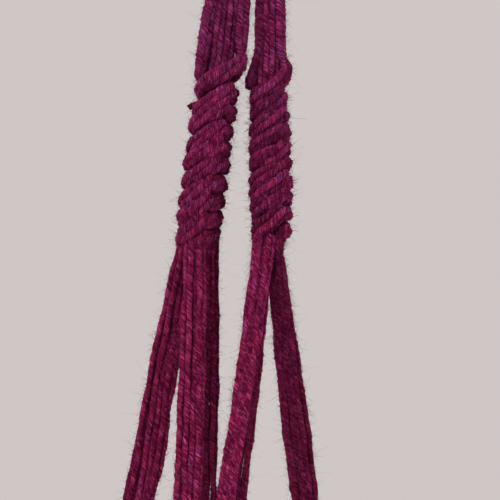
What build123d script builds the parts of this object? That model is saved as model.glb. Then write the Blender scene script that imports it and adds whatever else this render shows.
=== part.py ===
"""Hanging macrame planter: ring, folded cords, wraps, spiral sinnets, joint knots, pot and tassel.

Millimetres, +Z up. The origin is where a hook bears, at the inside top of the hanging ring.
A cord here is four plied yarns worked as one. Seen from above, azimuth 0 is +X and the front is -Y.
"""

import os
from math import acos, atan2, cos, hypot, pi, radians, sin, sqrt

import numpy as np
from build123d import *

os.makedirs("parts", exist_ok=True)

# Driving sizes of the cords
CORD_DIAMETER = 5.2
CORD_RADIUS = CORD_DIAMETER / 2
CORD_PITCH = 5.7
WRAP_DIAMETER = 4.0
WRAP_RADIUS = WRAP_DIAMETER / 2

# How far a cord is swept past the level where it is cut, and the steps that measure a route
OVERSHOOT = 3.0
CRADLE_OVERSHOOT = 9.0
GAP_STEP = 0.8
NUDGE = 0.01

# Hanging ring
RING_MEAN_RADIUS = 35.0
RING_STOCK_RADIUS = 4.5
RING_CENTRE = -(RING_MEAN_RADIUS - RING_STOCK_RADIUS)
SWING_AXIS = RING_CENTRE - RING_MEAN_RADIUS

# Cords folded over the ring, in two layers of four
INNER_BIGHT_RADIUS = 9.6
OUTER_BIGHT_RADIUS = 15.2
GRID = [CORD_PITCH * step for step in (-1.5, -0.5, 0.5, 1.5)]
INNER_LEG = CORD_PITCH * 0.5
OUTER_LEG = CORD_PITCH * 1.5
BIGHT_DROP = 30.5

# Top gathering, where all the cords are squeezed together under a wrap
TOP_CORE_HEIGHT = 38.0
CORE_RADIUS = 15.0
NECK_RADIUS = 12.5
CORE_LIP = 3.0
CORE_FLARE = 4.0
TOP_CORE_TOP = SWING_AXIS - BIGHT_DROP
ARM_TOP = TOP_CORE_TOP - TOP_CORE_HEIGHT
WRAP_PITCH = 4.7
WRAP_TURNS = 5
WRAP_CLEARANCE = 0.4
WRAP_CENTRE_RADIUS = NECK_RADIUS + WRAP_CLEARANCE + WRAP_RADIUS
WRAP_HEIGHT = WRAP_TURNS * WRAP_PITCH
TOP_WRAP_START = (TOP_CORE_TOP + ARM_TOP + WRAP_HEIGHT) / 2

# Four arms, straight from the top gathering to the foot of the sinnets
ARMS = {"front_right": -45, "back_right": 45, "back_left": 135, "front_left": 225}
FREE_LENGTH = 105.0
SINNET_LENGTH = 84.0
SINNET_TOP = ARM_TOP - FREE_LENGTH
SINNET_FOOT = SINNET_TOP - SINNET_LENGTH
ARM_TOP_RADIUS = CORD_PITCH * sqrt(2)
ARM_FOOT_RADIUS = 23.4
ARM_SLOPE = (ARM_FOOT_RADIUS - ARM_TOP_RADIUS) / (ARM_TOP - SINNET_FOOT)

# Spiral half-knot sinnets: two knot cords wind round two filler cords
FILLER_OFFSET = 2.7
WINDING_RADIUS = 8.8
ENTRY_DROP = 9.0
SINNET_EVEN_TURNS = 3.75
DIAMOND = CORD_PITCH / sqrt(2)

# Joint knots, each between two neighbouring arms
JOINTS = {"right": 0, "back": 90, "left": 180, "front": 270}
ARM_TO_JOINT = 45
SPLIT_HEIGHT = 210.0
JOINT_RADIUS = 56.0
JOINT_EVEN_TURNS = 0.5
JOINT_LENGTH = 31.2
JOINT_TOP = SINNET_FOOT - SPLIT_HEIGHT
JOINT_FOOT = JOINT_TOP - JOINT_LENGTH

# Plant pot
POT_RIM_RADIUS = 46.5
POT_RIM_HEIGHT = 16.0
POT_WALL_TOP_RADIUS = 43.0
POT_BASE_RADIUS = 32.0
POT_HEIGHT = 97.0
POT_WALL = 4.0
POT_FLOOR = 5.0
POT_FOOT_ROUND = 4.0
POT_LIP_ROUND = 1.5
DRAIN_RADIUS = 6.0
POT_RIM_ABOVE_JOINT = 25.0
POT_RIM = JOINT_TOP + POT_RIM_ABOVE_JOINT
POT_BASE = POT_RIM - POT_HEIGHT

# Cradle cords, which pass round the pot's foot and meet under it
CRADLE_CLEARANCE = 0.5
CRADLE_ARC_RADIUS = POT_FOOT_ROUND + CRADLE_CLEARANCE + CORD_RADIUS
CRADLE_MEETING_DROP = 18.0

# Base gathering and tassel
BASE_CORE_RADIUS = 16.5
BASE_GAP = 6.0
BASE_CORE_TOP = POT_BASE - BASE_GAP
BASE_CROWN = 5.0
BASE_COLLAR = 20.0
BASE_NECK_LENGTH = 25.0
BASE_NECK_TOP = BASE_CORE_TOP - BASE_COLLAR - CORE_FLARE
BASE_WRAP_START = BASE_NECK_TOP - (BASE_NECK_LENGTH - WRAP_HEIGHT) / 2
SWAY_AXIS = BASE_NECK_TOP - BASE_NECK_LENGTH - CORE_FLARE
TASSEL_HEAD_RADIUS = 16.4
TASSEL_GAP = 0.6
TASSEL_LENGTH = 150.0
TASSEL_RINGS = ((5, 4.6), (11, 10.0))


def save(builder, name):
    """Labels one finished sub-part and writes it."""
    builder.part.label = name
    export_step(builder.part, f"parts/{name}.step")
    print(f"{name}: {len(builder.part.solids())} solids, {builder.part.volume:.0f} mm3")


def compass(azimuth):
    """The outward and the sideways unit vectors at an azimuth in degrees."""
    outward = Vector(cos(radians(azimuth)), sin(radians(azimuth)), 0)
    return outward, Vector(-outward.Y, outward.X, 0)


def arm_place(azimuth):
    """Gives points beside an arm's leaning axis, by height and by offset outward and sideways."""
    outward, sideways = compass(azimuth)

    def place(height, out, side):
        reach = ARM_TOP_RADIUS + ARM_SLOPE * (ARM_TOP - height) + out
        return outward * reach + sideways * side + Vector(0, 0, height)

    return place


def joint_place(azimuth):
    """Gives points beside a joint knot's upright axis."""
    outward, sideways = compass(azimuth)

    def place(height, out, side):
        return outward * (JOINT_RADIUS + out) + sideways * side + Vector(0, 0, height)

    return place


def tangent_lean(reach, depth, radius):
    """Lean from the vertical of a line that touches a circle, from a point below and beside it."""
    return atan2(depth, reach) - acos(radius / hypot(reach, depth))


def sweep_round(route, radius):
    """Sweeps a round section along a route into the part being built."""
    with BuildSketch(Plane(origin=route @ 0, z_dir=route % 0)) as section:
        Circle(radius)
    sweep(sections=section.sketch, path=route)


def straight_cord(start, end):
    """Adds a taut cord that runs past both of its ends, to be trimmed there."""
    way = (end - start).normalized()
    with BuildLine() as route:
        Line(start - way * OVERSHOOT, end + way * OVERSHOOT)
    sweep_round(route.wire(), CORD_RADIUS)


def trim(top, foot):
    """Cuts the part being built level at two heights."""
    split(bisect_by=Plane.XY.offset(top), keep=Keep.BOTTOM)
    split(bisect_by=Plane.XY.offset(foot), keep=Keep.TOP)


def biarc(start, start_way, end, end_way):
    """Joins two points by two arcs that leave and arrive along the given ways."""
    span = end - start
    ways = start_way + end_way
    along = span.dot(ways)
    spread = 2 * (1 - start_way.dot(end_way))
    reach = (sqrt(along**2 + spread * span.dot(span)) - along) / spread
    middle = (start + end + (start_way - end_way) * reach) * 0.5
    TangentArc(start, middle, tangent=start_way)
    TangentArc(middle, end, tangent=(span - ways * reach).normalized())


def knot_cord_route(place, start_angle, top, foot, even_turns, lead_in):
    """Route of one knot cord: a run in, a quarter turn, even turns, a quarter turn and a straight end."""
    quarters = round(even_turns * 4)
    winding_foot = foot + CORD_DIAMETER
    quarter_drop = (top - winding_foot - 2 * ENTRY_DROP) / quarters

    def station(quarter):
        angle = start_angle - quarter * pi / 2
        height = top - ENTRY_DROP - (quarter - 1) * quarter_drop
        return place(height, WINDING_RADIUS * cos(angle), WINDING_RADIUS * sin(angle))

    spots = [place(top, WINDING_RADIUS * cos(start_angle), WINDING_RADIUS * sin(start_angle))]
    ways = [(spots[0] - lead_in).normalized()]
    for quarter in range(1, quarters + 2):
        spots.append(station(quarter))
        ways.append((station(quarter + NUDGE) - station(quarter - NUDGE)).normalized())
    end_angle = start_angle - (quarters + 2) * pi / 2
    end_offset = (WINDING_RADIUS * cos(end_angle), WINDING_RADIUS * sin(end_angle))
    spots.append(place(winding_foot, *end_offset))
    end = place(foot - OVERSHOOT, *end_offset)
    ways.append((end - spots[-1]).normalized())

    with BuildLine() as route:
        Line(lead_in - ways[0] * OVERSHOOT, spots[0])
        for step in range(len(spots) - 1):
            biarc(spots[step], ways[step], spots[step + 1], ways[step + 1])
        Line(spots[-1], end)
    return route.wire()


def points_along(route, step):
    """Points along a route at about the given step."""
    count = round(route.length / step)
    return np.array([tuple(route @ (index / count)) for index in range(count + 1)])


def report_gaps(name, routes, fillers):
    """Prints the least gap of a winding to itself, to its partner and to the cords it goes round."""
    half_turn = round(pi * WINDING_RADIUS / GAP_STEP)
    line, partner = (points_along(route, GAP_STEP) for route in routes)
    order = np.arange(len(line))
    apart = np.abs(np.subtract.outer(order, order)) > half_turn
    own = np.linalg.norm(line[:, None] - line[None], axis=2)[apart].min()
    pair = np.linalg.norm(line[:, None] - partner[None], axis=2).min()
    core = []
    for start, end in fillers:
        way = np.array(tuple((end - start).normalized()))
        off = line - np.array(tuple(start))
        core.append(np.linalg.norm(off - np.outer(off @ way, way), axis=1).min())
    gaps = ", ".join(f"{gap - CORD_DIAMETER:.2f}" for gap in (own, pair, min(core)))
    print(f"{name}: least gaps to itself, its partner and its fillers {gaps} mm")


def report_tube(name, route, radius, volume):
    """Prints a tube's tightest bend, and its volume against its section times its length."""
    tightest = min(edge.radius for edge in route.edges().filter_by(GeomType.CIRCLE))
    share = volume / (pi * radius**2 * route.length)
    print(f"{name}: tightest bend {tightest:.1f} mm, volume {share:.4f} of section times length")


def wrap_route(first_height):
    """Route of a wrap: even turns in quarter-turn biarcs with straight ends."""

    def station(quarter):
        outward, _ = compass(quarter * 90)
        return outward * WRAP_CENTRE_RADIUS + Vector(0, 0, first_height - quarter * WRAP_PITCH / 4)

    quarters = WRAP_TURNS * 4
    spots = [station(quarter) for quarter in range(quarters + 1)]
    ways = [(station(q + NUDGE) - station(q - NUDGE)).normalized() for q in range(quarters + 1)]
    with BuildLine() as route:
        Line(spots[0] - ways[0] * WRAP_DIAMETER, spots[0])
        for step in range(quarters):
            biarc(spots[step], ways[step], spots[step + 1], ways[step + 1])
        Line(spots[-1], spots[-1] + ways[-1] * WRAP_DIAMETER)
    return route.wire()


def report_wrap(name, route, volume):
    """Prints the least gap of a wrap to itself and the measures of its tube."""
    turn = round(2 * pi * WRAP_CENTRE_RADIUS / GAP_STEP)
    line = points_along(route, GAP_STEP)
    order = np.arange(len(line))
    apart = np.abs(np.subtract.outer(order, order)) > turn / 2
    gap = np.linalg.norm(line[:, None] - line[None], axis=2)[apart].min() - WRAP_DIAMETER
    print(f"{name}: least gap to itself {gap:.2f} mm")
    report_tube(name, route, WRAP_RADIUS, volume)


# Hanging ring
with BuildPart() as hanging_ring:
    with Locations((0, 0, RING_CENTRE)):
        Torus(RING_MEAN_RADIUS, RING_STOCK_RADIUS, rotation=(90, 0, 0))
save(hanging_ring, "hanging_ring")


def bight(across, leg, radius):
    """Adds one cord folded over the ring, its legs leaning in to the top gathering."""
    lean = tangent_lean(leg, SWING_AXIS - TOP_CORE_TOP, radius)
    touch = (radius * cos(lean), SWING_AXIS - radius * sin(lean))
    run = (touch[1] - TOP_CORE_TOP) / cos(lean) + OVERSHOOT
    foot = (touch[0] - run * sin(lean), touch[1] - run * cos(lean))
    with BuildLine() as route:
        Line((across, -foot[0], foot[1]), (across, -touch[0], touch[1]))
        ThreePointArc(
            (across, -touch[0], touch[1]),
            (across, 0, SWING_AXIS + radius),
            (across, touch[0], touch[1]),
        )
        Line((across, touch[0], touch[1]), (across, foot[0], foot[1]))
    sweep_round(route.wire(), CORD_RADIUS)


# Cords folded over the ring's lower side, four against it and four over those
for layer, leg, radius in (
    ("inner", INNER_LEG, INNER_BIGHT_RADIUS),
    ("outer", OUTER_LEG, OUTER_BIGHT_RADIUS),
):
    with BuildPart() as bights:
        for across in GRID:
            bight(across, leg, radius)
        split(bisect_by=Plane.XY.offset(TOP_CORE_TOP), keep=Keep.TOP)
    save(bights, f"{layer}_bights")

# Squeezed cords inside the top gathering
with BuildPart() as top_core:
    with BuildSketch(Plane.XZ):
        with BuildLine():
            Polyline(
                (0, TOP_CORE_TOP),
                (CORE_RADIUS, TOP_CORE_TOP),
                (CORE_RADIUS, TOP_CORE_TOP - CORE_LIP),
                (NECK_RADIUS, TOP_CORE_TOP - CORE_LIP - CORE_FLARE),
                (NECK_RADIUS, ARM_TOP + CORE_LIP + CORE_FLARE),
                (CORE_RADIUS, ARM_TOP + CORE_LIP),
                (CORE_RADIUS, ARM_TOP),
                (0, ARM_TOP),
                close=True,
            )
        make_face()
    revolve(axis=Axis.Z)
save(top_core, "top_core")

# Top wrap, wound round the neck of the top gathering
top_wrap_route = wrap_route(TOP_WRAP_START)
with BuildPart() as top_wrap:
    sweep_round(top_wrap_route, WRAP_RADIUS)
save(top_wrap, "top_wrap")
report_wrap("top_wrap", top_wrap_route, top_wrap.part.volume)

# Arms: filler cords straight through, knot cords straight and then wound round them
for arm, azimuth in ARMS.items():
    place = arm_place(azimuth)
    filler_ends = [
        (place(ARM_TOP, 0, side * DIAMOND), place(SINNET_FOOT, 0, side * FILLER_OFFSET))
        for side in (-1, 1)
    ]
    with BuildPart() as fillers:
        for start, end in filler_ends:
            straight_cord(start, end)
        trim(ARM_TOP, SINNET_FOOT)
    save(fillers, f"{arm}_filler_cords")

    routes = []
    for letter, start_angle in (("a", 0), ("b", pi)):
        name = f"{arm}_knot_cord_{letter}"
        lead_in = place(ARM_TOP, DIAMOND * cos(start_angle), DIAMOND * sin(start_angle))
        routes.append(
            knot_cord_route(place, start_angle, SINNET_TOP, SINNET_FOOT, SINNET_EVEN_TURNS, lead_in)
        )
        with BuildPart() as knot_cord:
            sweep_round(routes[-1], CORD_RADIUS)
            report_tube(name, routes[-1], CORD_RADIUS, knot_cord.part.volume)
            trim(ARM_TOP, SINNET_FOOT)
        save(knot_cord, name)
    report_gaps(arm, routes, filler_ends)


def neighbour(azimuth):
    """The joint knot at an azimuth."""
    return next(name for name, angle in JOINTS.items() if angle == azimuth % 360)


# Split cords: from the foot of each sinnet, two cords run to the joint knot on either side.
# The sinnet's fillers go to the outside of the joint, so the two roles change over there.
arrival_ways = {}
for arm, azimuth in ARMS.items():
    from_arm = arm_place(azimuth)
    for side in (-1, 1):
        joint_azimuth = azimuth + side * ARM_TO_JOINT
        joint = neighbour(joint_azimuth)
        to_joint = joint_place(joint_azimuth)
        runs = [
            (from_arm(SINNET_FOOT, 0, side * leave), to_joint(JOINT_TOP, 0, -side * arrive))
            for leave, arrive in ((FILLER_OFFSET, WINDING_RADIUS), (WINDING_RADIUS, FILLER_OFFSET))
        ]
        arrival_ways[joint, -side] = (runs[0][1] - runs[0][0]).normalized()
        with BuildPart() as split_cords:
            for start, end in runs:
                straight_cord(start, end)
            trim(SINNET_FOOT, JOINT_TOP)
        save(split_cords, f"{arm}_to_{joint}_cords")

# Joint knots: the same winding as a sinnet, one turn long, round two upright fillers
for joint, azimuth in JOINTS.items():
    place = joint_place(azimuth)
    filler_ends = [
        (place(JOINT_TOP, 0, side * FILLER_OFFSET), place(JOINT_FOOT, 0, side * FILLER_OFFSET))
        for side in (-1, 1)
    ]
    with BuildPart() as joint_fillers:
        for start, end in filler_ends:
            straight_cord(start, end)
        trim(JOINT_TOP, JOINT_FOOT)
    save(joint_fillers, f"{joint}_joint_filler_cords")

    routes = []
    for letter, side in (("a", 1), ("b", -1)):
        name = f"{joint}_joint_knot_cord_{letter}"
        lead_in = place(JOINT_TOP, 0, side * WINDING_RADIUS) - arrival_ways[joint, side] * OVERSHOOT
        routes.append(
            knot_cord_route(place, side * pi / 2, JOINT_TOP, JOINT_FOOT, JOINT_EVEN_TURNS, lead_in)
        )
        with BuildPart() as joint_cord:
            sweep_round(routes[-1], CORD_RADIUS)
            report_tube(name, routes[-1], CORD_RADIUS, joint_cord.part.volume)
            trim(JOINT_TOP, JOINT_FOOT)
        save(joint_cord, name)
    report_gaps(f"{joint}_joint", routes, filler_ends)

# Plant pot: tapered wall, thick rolled rim, rounded foot and a drain hole
with BuildPart() as plant_pot:
    with BuildSketch(Plane.XZ) as pot_profile:
        with BuildLine():
            Polyline(
                (DRAIN_RADIUS, POT_BASE),
                (POT_BASE_RADIUS, POT_BASE),
                (POT_WALL_TOP_RADIUS, POT_RIM - POT_RIM_HEIGHT),
                (POT_RIM_RADIUS, POT_RIM - POT_RIM_HEIGHT),
                (POT_RIM_RADIUS, POT_RIM),
                (POT_WALL_TOP_RADIUS - POT_WALL / 2, POT_RIM),
                (POT_BASE_RADIUS - POT_WALL, POT_BASE + POT_FLOOR),
                (DRAIN_RADIUS, POT_BASE + POT_FLOOR),
                close=True,
            )
        make_face()
        underside_and_floor = pot_profile.vertices().group_by(Axis.Y)[:2]
        fillet([level.sort_by(Axis.X)[-1] for level in underside_and_floor], POT_FOOT_ROUND)
        rim_corners = pot_profile.vertices().group_by(Axis.X)[-1]
        lip_corner = pot_profile.vertices().group_by(Axis.Y)[-1].sort_by(Axis.X)[0]
        fillet([*rim_corners, lip_corner], POT_LIP_ROUND)
    revolve(axis=Axis.Z)
save(plant_pot, "plant_pot")

# Squeezed cords inside the base gathering, with a rounded head under the wrap
with BuildPart() as base_core:
    with BuildSketch(Plane.XZ):
        with BuildLine():
            Polyline(
                (0, SWAY_AXIS - TASSEL_HEAD_RADIUS),
                (0, BASE_CORE_TOP),
                (BASE_CORE_RADIUS - BASE_CROWN, BASE_CORE_TOP),
                (BASE_CORE_RADIUS, BASE_CORE_TOP - BASE_CROWN),
                (BASE_CORE_RADIUS, BASE_CORE_TOP - BASE_COLLAR),
                (NECK_RADIUS, BASE_NECK_TOP),
                (NECK_RADIUS, BASE_NECK_TOP - BASE_NECK_LENGTH),
                (TASSEL_HEAD_RADIUS, SWAY_AXIS),
            )
            RadiusArc(
                (TASSEL_HEAD_RADIUS, SWAY_AXIS),
                (0, SWAY_AXIS - TASSEL_HEAD_RADIUS),
                TASSEL_HEAD_RADIUS,
            )
        make_face()
    revolve(axis=Axis.Z)
save(base_core, "base_core")

# Cradle cords: down from each joint knot, round the pot's foot and into the base gathering
foot_centre = Vector(POT_BASE_RADIUS - POT_FOOT_ROUND, 0, POT_BASE + POT_FOOT_ROUND)
meeting = Vector(BASE_CORE_RADIUS, 0, POT_BASE - CRADLE_MEETING_DROP)


def touch_angle(point, turn):
    """Angle on the cradle arc where a line from a point touches it."""
    off = point - foot_centre
    return atan2(off.Z, off.X) + turn * acos(CRADLE_ARC_RADIUS / hypot(off.X, off.Z))


def cradle_route(azimuth, side):
    """Route of one cradle cord in the upright plane at its offset to the side of the joint."""
    outward, sideways = compass(azimuth)

    def place(reach, height):
        return outward * reach + sideways * side + Vector(0, 0, height)

    def on_arc(angle):
        return place(
            foot_centre.X + CRADLE_ARC_RADIUS * cos(angle),
            foot_centre.Z + CRADLE_ARC_RADIUS * sin(angle),
        )

    first = touch_angle(Vector(JOINT_RADIUS, 0, JOINT_FOOT), -1)
    last = touch_angle(meeting, 1)
    start = place(JOINT_RADIUS, JOINT_FOOT)
    end = place(meeting.X, meeting.Z)
    arrive = (on_arc(first) - start).normalized()
    leave = (end - on_arc(last)).normalized()
    with BuildLine() as route:
        Line(start - arrive * OVERSHOOT, on_arc(first))
        ThreePointArc(on_arc(first), on_arc((first + last) / 2), on_arc(last))
        Line(on_arc(last), end + leave * CRADLE_OVERSHOOT)
    return route.wire()


for joint, azimuth in JOINTS.items():
    with BuildPart() as cradle_cords:
        for side in (-WINDING_RADIUS, -FILLER_OFFSET, FILLER_OFFSET, WINDING_RADIUS):
            sweep_round(cradle_route(azimuth, side), CORD_RADIUS)
        split(bisect_by=Plane.XY.offset(JOINT_FOOT), keep=Keep.BOTTOM)
        add(base_core.part, mode=Mode.SUBTRACT)
    save(cradle_cords, f"{joint}_cradle_cords")

# Base wrap, wound round the neck of the base gathering
base_wrap_route = wrap_route(BASE_WRAP_START)
with BuildPart() as base_wrap:
    sweep_round(base_wrap_route, WRAP_RADIUS)
save(base_wrap, "base_wrap")
report_wrap("base_wrap", base_wrap_route, base_wrap.part.volume)

# Tassel: the cord ends, cut hollow on top so that they can sway under the gathering's head
with BuildPart() as tassel:
    with Locations((0, 0, SWAY_AXIS)):
        for count, radius in TASSEL_RINGS:
            with PolarLocations(radius, count):
                Cylinder(CORD_RADIUS, TASSEL_LENGTH, align=(Align.CENTER, Align.CENTER, Align.MAX))
        Sphere(TASSEL_HEAD_RADIUS + TASSEL_GAP, mode=Mode.SUBTRACT)
save(tassel, "tassel")
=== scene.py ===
"""Looks of the hanging macrame planter: plied wool yarns, a turned wood ring and a clay pot, in metres."""

from math import cos, pi, radians, sin, sqrt

import bpy
import numpy as np
from mathutils import Matrix, Vector


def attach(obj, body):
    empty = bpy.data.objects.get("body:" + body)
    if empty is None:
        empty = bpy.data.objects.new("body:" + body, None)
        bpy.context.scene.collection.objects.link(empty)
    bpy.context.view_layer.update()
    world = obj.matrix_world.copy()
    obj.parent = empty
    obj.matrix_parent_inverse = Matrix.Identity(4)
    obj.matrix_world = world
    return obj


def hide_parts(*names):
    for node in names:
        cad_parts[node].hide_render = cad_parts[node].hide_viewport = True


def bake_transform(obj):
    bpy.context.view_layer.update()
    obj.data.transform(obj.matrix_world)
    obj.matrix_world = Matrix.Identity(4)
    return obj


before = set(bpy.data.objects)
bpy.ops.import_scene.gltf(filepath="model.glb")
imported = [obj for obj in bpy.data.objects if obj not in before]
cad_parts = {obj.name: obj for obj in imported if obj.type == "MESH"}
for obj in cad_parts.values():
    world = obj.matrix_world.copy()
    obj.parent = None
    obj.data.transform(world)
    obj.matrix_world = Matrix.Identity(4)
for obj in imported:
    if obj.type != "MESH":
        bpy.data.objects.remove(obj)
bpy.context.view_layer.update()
SEED = 11
chance = np.random.default_rng(SEED)
MM = 0.001

# Yarn: each cord of the build is four plied yarns worked as one
YARN_DIAMETER = 2.55 * MM
KNOT_YARN_DIAMETER = 3.4 * MM
CORD_YARNS = 4
PLIES = 3
PLY_LEAD = 6.3 * MM
PLY_DEPTH = 0.11
MEAN_CROWN = 0.62
WOOLLINESS = 0.11
ROUND_STEPS = 9
ALONG_STEP = 0.7 * MM
ROUTE_STEPS = 16
STREAK_ROOM = 40

# Unevenness along a yarn: octaves of a wave, then size and wave length of each kind
DRIFT_OCTAVES = (1.0, 1.7, 2.9)
DRIFT_TOTAL = 1.3
LAY_DRIFT = (0.7, 19 * MM)
THICKNESS_DRIFT = (0.04, 26 * MM)
WANDER_WAVE = 34 * MM
HELD_END = 12 * MM

# How far yarns wander off their routes
EVEN_LOOSE = 0.2 * MM
KNOT_LOOSE = 0.12 * MM
SPLIT_LOOSE = 0.25 * MM
WRAP_LOOSE = 0.1 * MM
TASSEL_LOOSE = 0.9 * MM

# Each strand's strip of the colour map: the share of its side, then its two end caps
BAKE_MAP = "OFBake"
MAP_SIDE = 0.96
CAP_CENTRE = (0.98, 0.25)
CAP_RADII = (0.012, 0.2)
CAP_STEP = (0, 0.5)
STRIP_SHARE = 0.94
STRIP_MARGIN = 0.03

# Ranges of each yarn's random tone, from 0 to 1. The ranges for the front arms and their bundles are painted
# light and shade: lighter for bundles that face the light, darker for those in shadow, darkest for the outer
# right bundle
EVEN_DYE = (0, 1)
DYE_AND_PAINTED_LIGHT = {
    "front_left": (0.2, 0.95),
    "front_left_to_left": (0.7, 1),
    "front_left_to_front": (0.8, 1),
    "front_right": (0, 0.8),
    "front_right_to_front": (1, 1),
    "front_right_to_right": (0, 0.12),
}

# Heights and radii of the hanger, as built
SWING_AXIS = -65.5 * MM
LEG_FOOT = -96 * MM
TOP_WRAP_TOP = -103.25 * MM
ARM_TOP = -134 * MM
SINNET_TOP = -239 * MM
SINNET_FOOT = -323 * MM
JOINT_TOP = -533 * MM
JOINT_FOOT = -564.2 * MM
COLLAR = -623 * MM
BASE_NECK_TOP = -635 * MM
BASE_WRAP_TOP = -635.75 * MM
BASE_NECK_FOOT = -660 * MM
TASSEL_FOOT = -814 * MM
ARM_TOP_RADIUS = 8.06 * MM
ARM_FOOT_RADIUS = 23.4 * MM
JOINT_RADIUS = 56 * MM
COLLAR_RADIUS = 16.5 * MM
ARM_SLOPE = (ARM_FOOT_RADIUS - ARM_TOP_RADIUS) / (ARM_TOP - SINNET_FOOT)

# Arms and joint knots by azimuth in degrees, seen from above, with the front at 270
ARMS = {"front_right": -45, "back_right": 45, "back_left": 135, "front_left": 225}
JOINTS = {"right": 0, "back": 90, "left": 180, "front": 270}
ARM_TO_JOINT = 45
QUARTER = 90

# A quarter of the gathered yarns inside a wrap: distance from the axis and number of yarns for each ring
QUARTER_RINGS = ((2.0 * MM, 1), (4.6 * MM, 3), (7.2 * MM, 5), (9.8 * MM, 7))

# Places of a cord's four yarns beside its middle: across and outward
CORD_SIDES = (-1.2 * MM, 1.2 * MM)
CORD_GRID = [(across, out) for across in CORD_SIDES for out in CORD_SIDES]

# Spiral half-knots: a pass starts steep and outside its partner, and ends flat and tucked under it
SINNET_KNOTS = 9
JOINT_KNOTS = 3
PASS_SHAPE = (
    # share of the half turn, distance from the axis, share of the drop
    (0.00, 6.8 * MM, 0.00),
    (0.14, 7.0 * MM, 0.30),
    (0.30, 6.7 * MM, 0.58),
    (0.50, 6.3 * MM, 0.80),
    (0.75, 6.0 * MM, 0.94),
    (1.00, 5.2 * MM, 1.00),
)
PASS_DROP = 1.35
PASS_LEAN = radians(25)
ROLL_ACROSS = 2.4 * MM
ROLL_OUT = 1.35 * MM
ROLL_LEAD = 52 * MM
SPIRAL_TWIST = 1.5
HEIGHT_JITTER = 0.55 * MM
TURN_JITTER = radians(4)
FULLNESS_JITTER = 0.05

# Sinnets: how full the passes are at the head, lower down and at the foot, and the room below, in knots
FULLNESS = {
    "front_right": (1.2, 1.38, 1.12),
    "back_right": (1.15, 1.2, 1.05),
    "back_left": (1.15, 1.2, 1.05),
    "front_left": (1.34, 1.3, 1.0),
}
EVEN_FULLNESS = (1, 1, 1)
FULLNESS_PLACES = (0, 0.7, 1)
FOOT_ROOM = {"front_right": 1.5, "back_right": 0.8, "back_left": 0.8, "front_left": 0.6}
# Where the first pass starts: degrees past the ribbon's side, and height
SPIRAL_START = {"front_right": -30, "back_right": -40, "back_left": -30, "front_left": -40}
SINNET_START = {
    "front_right": -246 * MM,
    "back_right": SINNET_TOP,
    "back_left": SINNET_TOP,
    "front_left": -243 * MM,
}
# How far to the right the head of a front sinnet leans, and its foot as far to the left
SINNET_LEAN = {"front_left": 1.6 * MM, "front_right": -0.9 * MM}
# The knot cords come in from the ribbon's right and left: rises, distance from the axis, and places
ENTRY_RISES = (5 * MM, -2.5 * MM)
ENTRY_RADIUS = 6.9 * MM
ENTRY_SHARES = (1, 0.5)

# Ribbons of eight columns and two rows, back and front, above the sinnets
RIBBON_COLUMNS = 8
RIBBON_MIDDLE = (RIBBON_COLUMNS - 1) / 2
ROWS = (1, -1)
ROW_OFFSET = 1.5 * MM
COLUMN_DEPTH = 1.4 * MM
RIBBON_SHIFT = {"front_right": 1.0 * MM, "back_right": 1.0 * MM, "front_left": -0.9 * MM}
RIBBON_PITCH = {
    "front_right": 1.4 * MM,
    "back_right": 1.2 * MM,
    "back_left": 2.2 * MM,
    "front_left": 2.6 * MM,
}
RIBBON_STAGGER = 0.55 * MM
INTO_WRAP = 9 * MM
# Columns of the knot cords, right and left, heights above the sinnet, and how far they belly out
LEAD_COLUMNS = ((6, 7), (0, 1))
LEAD_RISE = 22 * MM
BULGE_RISE = 12 * MM
LEAD_BULGE = {
    "front_right": (0.0 * MM, 0.2 * MM),
    "back_right": (0.2 * MM, 0.2 * MM),
    "back_left": (1.2 * MM, 1.2 * MM),
    "front_left": (0.0 * MM, 0.4 * MM),
}
# Filler columns with their places in the core of a sinnet, sideways and in depth
CORE_PLACES = {
    2: (-3.7 * MM, 1.5 * MM),
    3: (-1.5 * MM, 3.7 * MM),
    4: (1.5 * MM, 3.7 * MM),
    5: (3.7 * MM, 1.5 * MM),
}
OUTER_FILLERS = (2, 5)
FILLER_RISE = 20 * MM
CORE_END = 8 * MM

# Yarns at the foot of a sinnet, in ranks away from its middle
FOOT_PITCH = 2.65 * MM
FOOT_RANKS = (0.55, 1.55, 2.55)
FOOT_GRID = [(rank, row) for rank in FOOT_RANKS for row in (-1, 0, 1)]
FOOT_SHIFT = {ARMS["front_left"]: -3.0 * MM}

# One trimmed yarn end that sticks out of the front left sinnet: sideways reach and rise of its points
STUB_HEIGHT = -260 * MM
STUB_DEPTH = -3 * MM
STUB = ((-5 * MM, 1 * MM), (-9 * MM, 0.6 * MM), (-11.6 * MM, -1.6 * MM))

# Bundles between sinnets and joint knots: steps between columns of two yarns, and shifts of the whole
SPLIT_YARNS = 8
WIDE_FAN_PITCH = 3.35 * MM
FAN_PITCH = {"front_right_to_front": 1.65 * MM, "front_left_to_front": 2.75 * MM}
FAN_MIDDLE = 1.5
FAN_STAGGER = 0.35
FAN_JITTER = 0.25 * MM
FAN_DEPTH = 2.6 * MM
FAN_SHARE = 0.95
# Sideways places of the yarns where a strand hangs a little apart from the rest
LOOSE_FAN = {
    "front_left_to_left": [place * MM for place in (-6.0, -5.3, -1.9, -1.0, 0.8, 2.4, 4.4, 6.0)],
    "front_right_to_right": [place * MM for place in (-4.9, -4.2, -2.4, -1.5, -0.1, 0.9, 1.8, 5.1)],
}
FAN_SHIFT = {
    "front_left_to_left": 7.0 * MM,
    "front_left_to_front": -1.6 * MM,
    "front_right_to_front": -5.8 * MM,
    "front_right_to_right": 1.2 * MM,
    "back_right_to_back": -2 * MM,
    "back_left_to_back": -2.4 * MM,
}
SHIFT_ABOVE = 0.4
# Shares of the way down where a bundle is spread, and of the way up from the joint knot where it is closed
FAN_HIGH = 0.33
FAN_LOW = 0.54
FAN_CLOSED = 0.23
# Shares of the way that lie inside the knots and just outside them
SPLIT_TUCK = 0.03
SPLIT_LEAVING = 0.02
SPLIT_END = 1 * MM
# How much a yarn's goal counts beside its start when a bundle's yarns are put in order
GOAL_WEIGHT = 0.3

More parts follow.
